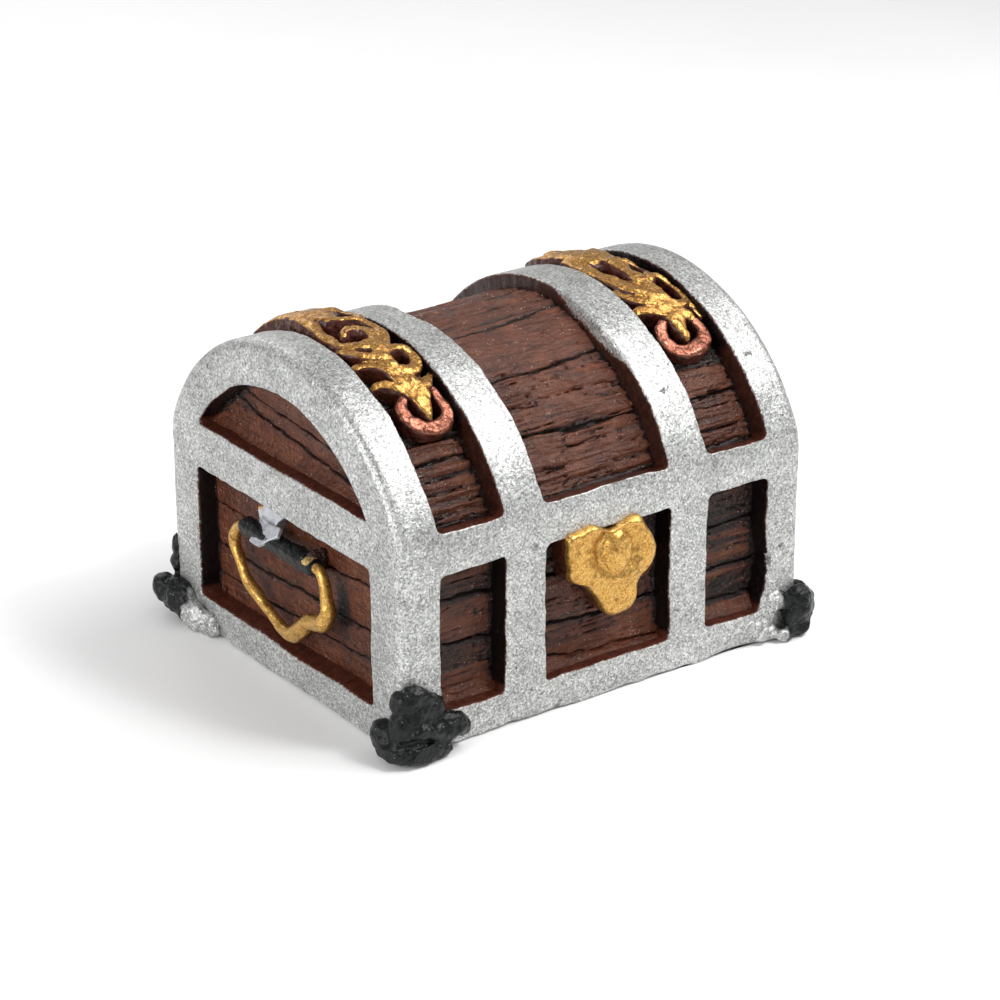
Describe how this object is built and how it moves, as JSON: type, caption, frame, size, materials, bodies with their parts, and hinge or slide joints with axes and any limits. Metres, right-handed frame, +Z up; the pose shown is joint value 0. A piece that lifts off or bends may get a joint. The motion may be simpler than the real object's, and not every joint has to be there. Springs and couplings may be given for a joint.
{
  "type": "bubbling ornament",
  "caption": "Small treasure chest aquarium ornament with a hinged barrel lid that air lifts, strapwork, drop handles, claw feet and an air hose spigot at the back.",
  "frame": {"origin": "middle of the flat underside, on the surface it stands on", "axes": "+X to the right seen from the lock side, +Y to the hinged back, +Z up"},
  "size_m": [0.082, 0.0738, 0.0561],
  "materials": {
    "silver_paint": "satin metallic flake paint on cast resin",
    "brown_varnish": "glossy wood-grain varnish on cast resin",
    "gold_paint": "satin gold paint on cast resin",
    "copper_paint": "satin copper paint on cast resin",
    "black_paint": "glossy black paint on cast resin",
    "clear_plastic": "milky moulded plastic",
    "soft_hose": "translucent soft hose",
    "air_stone": "sintered grit",
    "hinge_steel": "stainless wire"
  },
  "bodies": {
    "chest": {"air_hose": "soft_hose", "air_inlet": "clear_plastic", "air_stone": "air_stone", "base_rail_front": "silver_paint", "base_rail_left": "silver_paint", "base_rail_rear": "silver_paint", "base_rail_right": "silver_paint", "base_tub": "brown_varnish", "bottom_band": "silver_paint", "coin_heap": "gold_paint", "foot_front_left": "black_paint", "foot_front_right": "black_paint", "foot_rear_left": "black_paint", "foot_rear_right": "black_paint", "handle_clip_left": "brown_varnish", "handle_clip_right": "brown_varnish", "handle_cuff_left": "silver_paint", "handle_cuff_right": "silver_paint", "handle_grip_left": "black_paint", "handle_grip_right": "black_paint", "hinge_leaf_base_left": "silver_paint", "hinge_leaf_base_right": "silver_paint", "hinge_pin_left": "hinge_steel", "hinge_pin_right": "hinge_steel", "lock_plate": "gold_paint", "post_front_left": "silver_paint", "post_front_right": "silver_paint", "post_rear_left": "silver_paint", "post_rear_right": "silver_paint", "strap_front_left": "silver_paint", "strap_front_right": "silver_paint", "strap_rear_left": "silver_paint", "strap_rear_right": "silver_paint"},
    "lid": {"hinge_leaf_lid_left": "silver_paint", "hinge_leaf_lid_right": "silver_paint", "lid_end_band_left": "silver_paint", "lid_end_band_right": "silver_paint", "lid_rail_front": "silver_paint", "lid_rail_left": "silver_paint", "lid_rail_rear": "silver_paint", "lid_rail_right": "silver_paint", "lid_shell": "brown_varnish", "lid_strap_left": "silver_paint", "lid_strap_right": "silver_paint", "scroll_cup_front_left": "copper_paint", "scroll_cup_front_right": "copper_paint", "scroll_cup_rear_left": "copper_paint", "scroll_cup_rear_right": "copper_paint", "scroll_left": "gold_paint", "scroll_right": "gold_paint"},
    "handle_left": {"handle_bail_left": "gold_paint"},
    "handle_right": {"handle_bail_right": "gold_paint"}
  },
  "joints": [
    {"name": "lid_hinge", "type": "hinge", "parent": "chest", "child": "lid", "pos_m": [0, 0.0344, 0.031], "axis": [-1, 0, 0], "range_deg": [0, 40]},
    {"name": "handle_left_hinge", "type": "hinge", "parent": "chest", "child": "handle_left", "pos_m": [-0.037, 0, 0.0222], "axis": [0, 1, 0], "range_deg": [-5, 80]},
    {"name": "handle_right_hinge", "type": "hinge", "parent": "chest", "child": "handle_right", "pos_m": [0.037, 0, 0.0222], "axis": [0, -1, 0], "range_deg": [-5, 80]}
  ]
}
